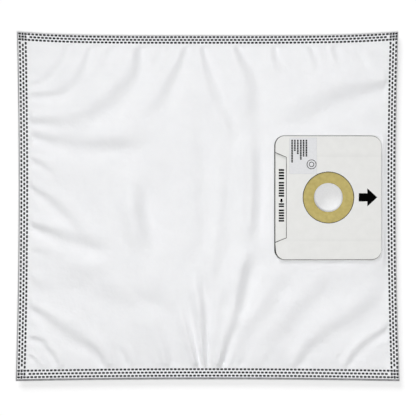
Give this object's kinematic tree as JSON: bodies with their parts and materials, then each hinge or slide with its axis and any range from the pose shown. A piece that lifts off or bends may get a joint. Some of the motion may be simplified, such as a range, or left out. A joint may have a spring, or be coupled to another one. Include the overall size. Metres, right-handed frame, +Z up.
{
  "type": "vacuum filter bag",
  "caption": "Flat vacuum filter bag of two nonwoven sheets welded round the edge, with a card collar, a rubber gasket at the port and a sliding seal.",
  "frame": {"origin": "on the ground, under the middle of the bag's outline", "axes": "+X along the bag's long side towards the collar, +Y along the short side, +Z up, out of the collar side"},
  "size_m": [0.4574, 0.4168, 0.0238],
  "materials": {
    "fabric": "white spunbond nonwoven, matt",
    "card": "off-white board, smooth",
    "slide_card": "off-white board, smooth",
    "rubber": "yellow-brown rubber, satin",
    "label_paper": "pale blue-grey paper",
    "ink": "black print"
  },
  "bodies": {
    "bag": {"front_panel": "fabric", "rear_panel": "fabric", "collar_back_card": "card", "guide_rail_upper": "card", "guide_rail_lower": "card", "gasket": "rubber", "collar_face_card": "card", "collar_label": "label_paper", "arrow_print": "ink"},
    "slide": {"seal_slide": "slide_card"}
  },
  "joints": [
    {"name": "seal_slide_travel", "type": "slide", "parent": "bag", "child": "slide", "axis": [-0.9982, 0, 0.0593], "range_m": [0, 0.04075]}
  ]
}
